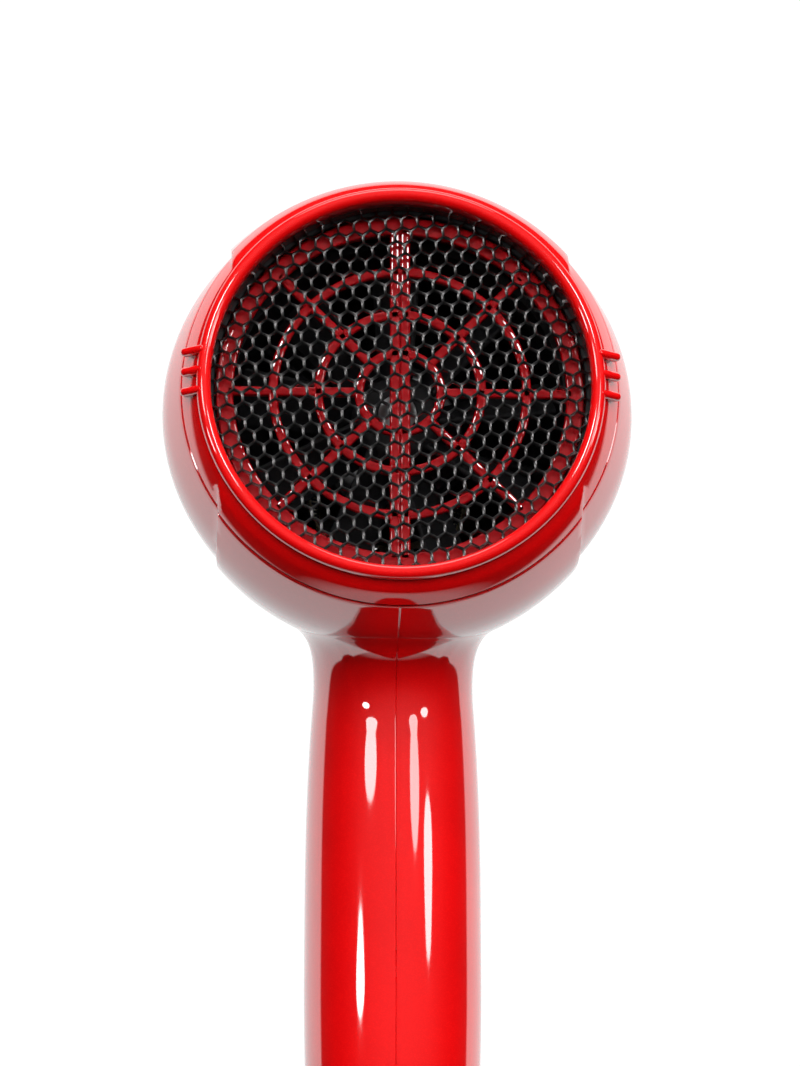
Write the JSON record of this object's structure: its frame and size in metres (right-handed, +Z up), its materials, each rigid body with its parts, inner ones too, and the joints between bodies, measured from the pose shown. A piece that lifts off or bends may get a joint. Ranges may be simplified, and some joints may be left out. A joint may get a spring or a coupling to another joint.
{
  "type": "hand-held blow dryer",
  "caption": "Pistol-grip blow dryer: round honeycomb intake with pull-off cap, lobed two-shell body, oval handle with rocker switches, flat turning nozzle and hanging loop.",
  "frame": {"origin": "middle of the handle, where a hand closes round it", "axes": "+Z up along the handle towards the barrel, +Y along the air flow towards the nozzle, +X to the right seen from the intake"},
  "size_m": [0.1036, 0.1921, 0.2491],
  "materials": {
    "shell_lacquer": "candy red metallic lacquer over moulded ABS, very glossy, fine flake",
    "mesh_steel": "black-plated steel honeycomb sheet, semi-bright",
    "black_plastic": "black heat-resistant nylon, satin",
    "trim_black": "gloss black",
    "switch_black": "satin black",
    "white_plastic": "natural nylon",
    "steel": "zinc-plated steel",
    "bearing_brass": "sintered bronze",
    "ferrite": "ground ferrite",
    "carbon": "graphite, matt",
    "board": "green laminate",
    "copper": "enamelled copper",
    "mica": "pressed mica sheet",
    "nichrome": "oxidised resistance wire",
    "white_ceramic": "glazed",
    "rubber": "soft black rubber"
  },
  "bodies": {
    "housing": {"shell_left": "shell_lacquer", "shell_right": "shell_lacquer", "outlet_trim_ring": "trim_black", "outlet_grille": "black_plastic", "fan_duct": "black_plastic", "duct_seal": "rubber", "motor_can": "steel", "motor_end_cap": "black_plastic", "bearing_rear": "bearing_brass", "bearing_front": "bearing_brass", "magnet_left": "ferrite", "magnet_right": "ferrite", "brush_left": "carbon", "brush_right": "carbon", "rectifier_board": "board", "heater_tube": "mica", "heater_frame": "mica", "heater_coil": "nichrome", "thermostat": "steel", "thermal_fuse": "white_ceramic", "speed_switch_body": "white_plastic", "heat_switch_body": "white_plastic", "cool_switch_body": "white_plastic", "cool_button_spring": "steel", "switch_carrier": "white_plastic", "screw_upper": "steel", "screw_middle": "steel", "screw_lower": "steel", "cord_inlet_bush": "rubber", "loop_pin": "steel"},
    "rear_cap": {"intake_cap": "shell_lacquer", "intake_mesh": "mesh_steel", "mesh_retainer": "black_plastic"},
    "rotor": {"motor_shaft": "steel", "armature": "copper", "commutator": "copper", "fan_impeller": "black_plastic", "fan_clip": "steel"},
    "front_nozzle": {"nozzle": "black_plastic"},
    "speed_switch": {"speed_rocker": "switch_black"},
    "heat_switch": {"heat_rocker": "switch_black"},
    "cool_shot": {"cool_button": "switch_black"},
    "hanging_loop": {"hang_loop": "trim_black"}
  },
  "joints": [
    {"name": "cap_pull", "type": "slide", "parent": "housing", "child": "rear_cap", "axis": [0, -1, 0], "range_m": [0, 0.03]},
    {"name": "fan_spin", "type": "hinge", "parent": "housing", "child": "rotor", "pos_m": [0, -0.005, 0.112], "axis": [0, 1, 0], "continuous": true},
    {"name": "nozzle_turn", "type": "hinge", "parent": "housing", "child": "front_nozzle", "pos_m": [0, 0.103, 0.112], "axis": [0, 1, 0], "continuous": true},
    {"name": "speed_rock", "type": "hinge", "parent": "housing", "child": "speed_switch", "pos_m": [0, 0.0135, 0.038], "axis": [1, 0, 0], "range_deg": [-9, 9]},
    {"name": "heat_rock", "type": "hinge", "parent": "housing", "child": "heat_switch", "pos_m": [0, 0.0135, 0.012], "axis": [1, 0, 0], "range_deg": [-9, 9]},
    {"name": "cool_push", "type": "slide", "parent": "housing", "child": "cool_shot", "axis": [0, -1, 0], "range_m": [0, 0.0022], "stiffness_N_per_m": 400, "springref_m": -0.001, "deforming": ["cool_button_spring"]},
    {"name": "loop_swing", "type": "hinge", "parent": "housing", "child": "hanging_loop", "pos_m": [0, -0.01, -0.0672], "axis": [1, 0, 0], "range_deg": [-70, 70]}
  ]
}
